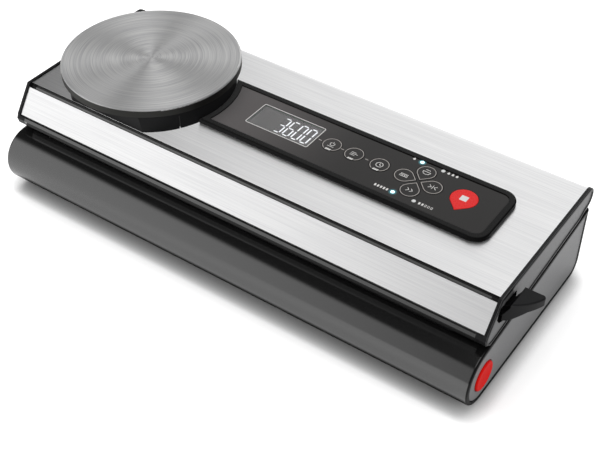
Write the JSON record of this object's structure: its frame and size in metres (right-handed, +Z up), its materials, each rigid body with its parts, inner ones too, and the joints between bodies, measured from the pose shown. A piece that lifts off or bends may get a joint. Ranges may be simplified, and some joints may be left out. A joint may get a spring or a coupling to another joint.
{
  "type": "vacuum sealer",
  "caption": "Long countertop vacuum sealer: steel-topped hinged lid over a round-nosed base, touch panel, weighing platter, locking lever and release button.",
  "frame": {"origin": "on the table under the middle of the overall length (lever included) and depth", "axes": "+X along the length towards the lever, -Y towards the user, +Z up"},
  "size_m": [0.4191, 0.1675, 0.1035],
  "materials": {
    "black_abs": "satin moulded ABS",
    "deck_abs": "fine textured ABS",
    "cap_abs": "satin charcoal ABS",
    "end_face_abs": "satin grey ABS",
    "sheet_steel": "brushed along the length",
    "platter_steel": "brushed in circles",
    "bezel_abs": "semi-gloss",
    "overlay_film": "printed film",
    "display_glass": "smoked window",
    "display_face": "dark module",
    "lamp_lens": "clear light pipe",
    "key_plastic": "printed key cap",
    "stop_red": "red key cap",
    "button_red": "gloss red",
    "foam_rubber": "closed-cell foam",
    "silicone": "silicone strip",
    "foot_rubber": "soft",
    "hose_silicone": "translucent tube",
    "bright_steel": "turned or stamped",
    "screw_steel": "zinc plated",
    "nichrome": "flat ribbon",
    "coated_glass_cloth": "non-stick coating",
    "bar_aluminium": "extruded",
    "pump_alloy": "die cast",
    "motor_paint": "zinc plated can",
    "board_laminate": "solder mask",
    "component_plastic": "moulded",
    "core_steel": "laminated core",
    "inlet_plastic": "moulded",
    "pin_brass": "plated"
  },
  "bodies": {
    "base": {"base_shell": "black_abs", "base_deck": "deck_abs", "bottom_cover": "black_abs", "bottom_screws": "screw_steel", "rubber_feet": "foot_rubber", "base_end_plates": "end_face_abs", "drip_tray": "deck_abs", "hinge_brackets": "black_abs", "hinge_pins": "bright_steel", "lower_gasket": "foam_rubber", "heat_bar": "bar_aluminium", "heating_strip": "nichrome", "nonstick_tape": "coated_glass_cloth", "pump_motor": "motor_paint", "pump_head": "pump_alloy", "pump_bracket": "motor_paint", "solenoid_valve": "component_plastic", "vacuum_switch": "component_plastic", "vacuum_hose": "hose_silicone", "power_board": "board_laminate", "board_components": "component_plastic", "transformer": "core_steel", "mains_inlet": "inlet_plastic", "inlet_pins": "pin_brass", "lid_switch": "component_plastic", "latch_keepers": "bright_steel", "release_spring": "bright_steel"},
    "release_button": {"release_button": "button_red"},
    "pump_crank": {"pump_crank": "bright_steel"},
    "lid": {"lid_shell": "black_abs", "lid_inner_cover": "deck_abs", "lid_end_cap_left": "cap_abs", "lid_end_cap_right": "cap_abs", "top_panel": "sheet_steel", "front_panel": "sheet_steel", "control_bezel": "bezel_abs", "control_overlay": "overlay_film", "display_window": "display_glass", "display_module": "display_face", "control_board": "board_laminate", "key_switches": "component_plastic", "indicator_lamps": "lamp_lens", "scale_pedestal": "deck_abs", "load_cell": "bar_aluminium", "platter_carrier": "deck_abs", "lid_screws": "screw_steel", "upper_gasket": "foam_rubber", "pressure_strip": "silicone"},
    "latch": {"latch_lever": "deck_abs", "latch_shaft": "bright_steel", "latch_hooks": "bright_steel"},
    "platter": {"platter_disc": "platter_steel"},
    "power_key": {"power_key": "key_plastic"},
    "mode_key": {"mode_key": "key_plastic"},
    "time_key": {"time_key": "key_plastic"},
    "seal_key": {"seal_key": "key_plastic"},
    "food_key": {"food_key": "key_plastic"},
    "vacuum_key": {"vacuum_key": "key_plastic"},
    "speed_key": {"speed_key": "key_plastic"},
    "stop_key": {"stop_key": "stop_red"}
  },
  "joints": [
    {"name": "lid_hinge", "type": "hinge", "parent": "base", "child": "lid", "pos_m": [0, 0.0752, 0.0735], "axis": [-1, 0, 0], "range_deg": [0, 75]},
    {"name": "latch_swing", "type": "hinge", "parent": "lid", "child": "latch", "pos_m": [0, -0.037, 0.0635], "axis": [1, 0, 0], "range_deg": [0, 25], "stiffness_Nm_per_rad": 0.03, "springref_deg": -34.38},
    {"name": "release_press", "type": "slide", "parent": "base", "child": "release_button", "axis": [-1, 0, 0], "range_m": [0, 0.004], "stiffness_N_per_m": 300, "springref_m": -0.003, "deforming": ["release_spring"]},
    {"name": "pump_spin", "type": "hinge", "parent": "base", "child": "pump_crank", "pos_m": [0.0905, 0.044, 0.0295], "axis": [1, 0, 0], "continuous": true},
    {"name": "platter_lift", "type": "slide", "parent": "lid", "child": "platter", "axis": [0, 0, 1], "range_m": [0, 0.03]},
    {"name": "power_press", "type": "slide", "parent": "lid", "child": "power_key", "axis": [0, 0, -1], "range_m": [0, 0.0005], "stiffness_N_per_m": 800, "springref_m": -0.0006},
    {"name": "mode_press", "type": "slide", "parent": "lid", "child": "mode_key", "axis": [0, 0, -1], "range_m": [0, 0.0005], "stiffness_N_per_m": 800, "springref_m": -0.0006},
    {"name": "time_press", "type": "slide", "parent": "lid", "child": "time_key", "axis": [0, 0, -1], "range_m": [0, 0.0005], "stiffness_N_per_m": 800, "springref_m": -0.0006},
    {"name": "seal_press", "type": "slide", "parent": "lid", "child": "seal_key", "axis": [0, 0, -1], "range_m": [0, 0.0005], "stiffness_N_per_m": 800, "springref_m": -0.0006},
    {"name": "food_press", "type": "slide", "parent": "lid", "child": "food_key", "axis": [0, 0, -1], "range_m": [0, 0.0005], "stiffness_N_per_m": 800, "springref_m": -0.0006},
    {"name": "vacuum_press", "type": "slide", "parent": "lid", "child": "vacuum_key", "axis": [0, 0, -1], "range_m": [0, 0.0005], "stiffness_N_per_m": 800, "springref_m": -0.0006},
    {"name": "speed_press", "type": "slide", "parent": "lid", "child": "speed_key", "axis": [0, 0, -1], "range_m": [0, 0.0005], "stiffness_N_per_m": 800, "springref_m": -0.0006},
    {"name": "stop_press", "type": "slide", "parent": "lid", "child": "stop_key", "axis": [0, 0, -1], "range_m": [0, 0.0005], "stiffness_N_per_m": 800, "springref_m": -0.0006}
  ]
}
